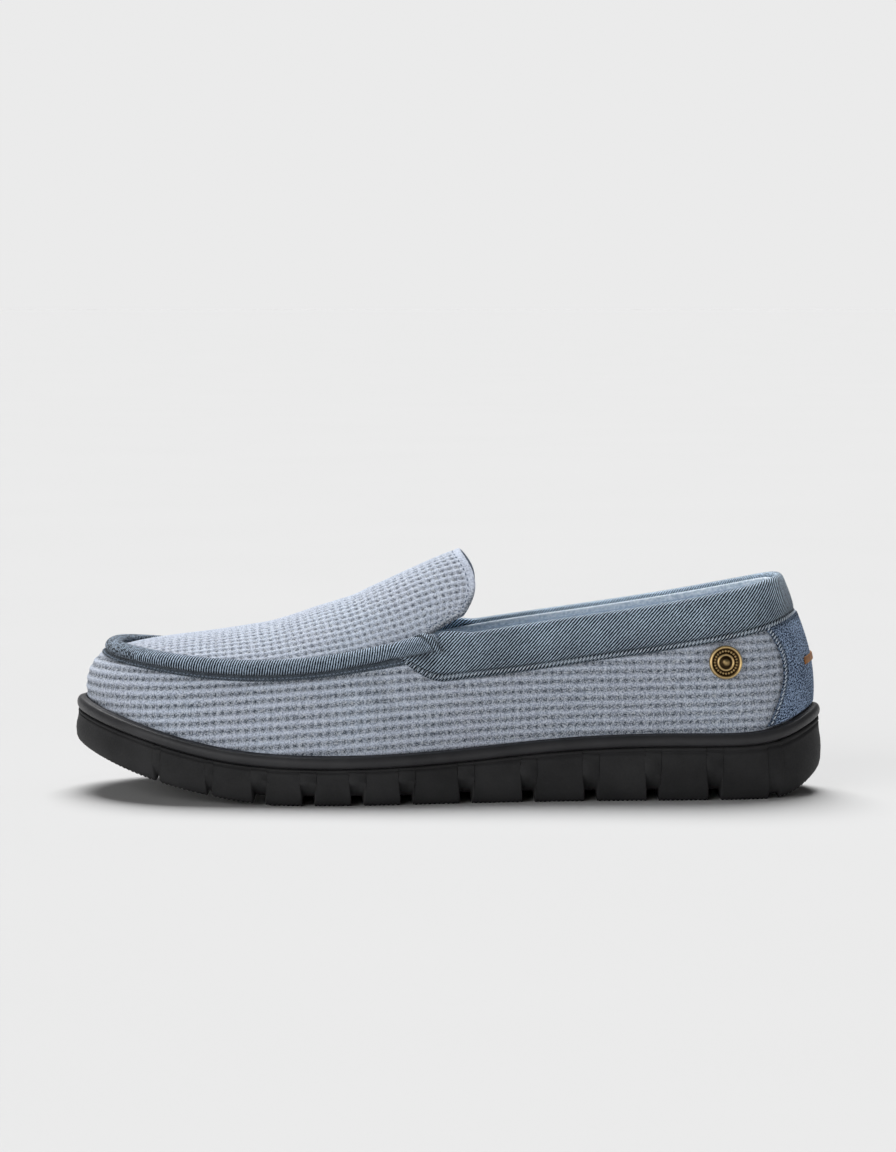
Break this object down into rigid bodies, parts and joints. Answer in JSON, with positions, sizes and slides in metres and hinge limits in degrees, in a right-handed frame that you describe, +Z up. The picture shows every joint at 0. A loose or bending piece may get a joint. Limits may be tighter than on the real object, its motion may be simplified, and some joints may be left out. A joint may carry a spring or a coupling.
{
  "type": "moccasin slipper",
  "caption": "Slip-on moccasin slipper with a waffle-knit upper and apron, padded denim collar, rolled apron seam, denim heel counter and a lugged rubber sole.",
  "frame": {"origin": "centre of the sole's outline, on the floor", "axes": "+X towards the toe, +Y towards the lateral (outer) side, +Z up from the floor"},
  "size_m": [0.3, 0.1093, 0.0975],
  "materials": {
    "outsole_rubber": "moulded matte black rubber with fine cross ribs on the tread",
    "welt_rubber": "moulded satin black rubber bead",
    "footbed_fabric": "brushed light blue lining cloth over foam",
    "waffle_knit": "grey-blue waffle knit with darker recessed dots",
    "roll_denim": "blue twill denim rolled over a cord",
    "collar_denim": "blue twill denim with pale twin stitching along its lower edge",
    "counter_denim": "darker blue speckled denim with pale stitched front edges",
    "tan_leather": "plain tan leather strip",
    "antique_brass": "antique brass cap with a bright rim and darkened recesses"
  },
  "bodies": {
    "root": {"outsole": "outsole_rubber", "welt": "welt_rubber", "insole": "footbed_fabric", "upper": "waffle_knit", "apron_roll": "roll_denim", "collar": "collar_denim", "heel_counter": "counter_denim", "throat_bar_lateral": "roll_denim", "throat_bar_medial": "roll_denim", "heel_tab": "tan_leather", "snap_button": "antique_brass"}
  },
  "joints": []
}
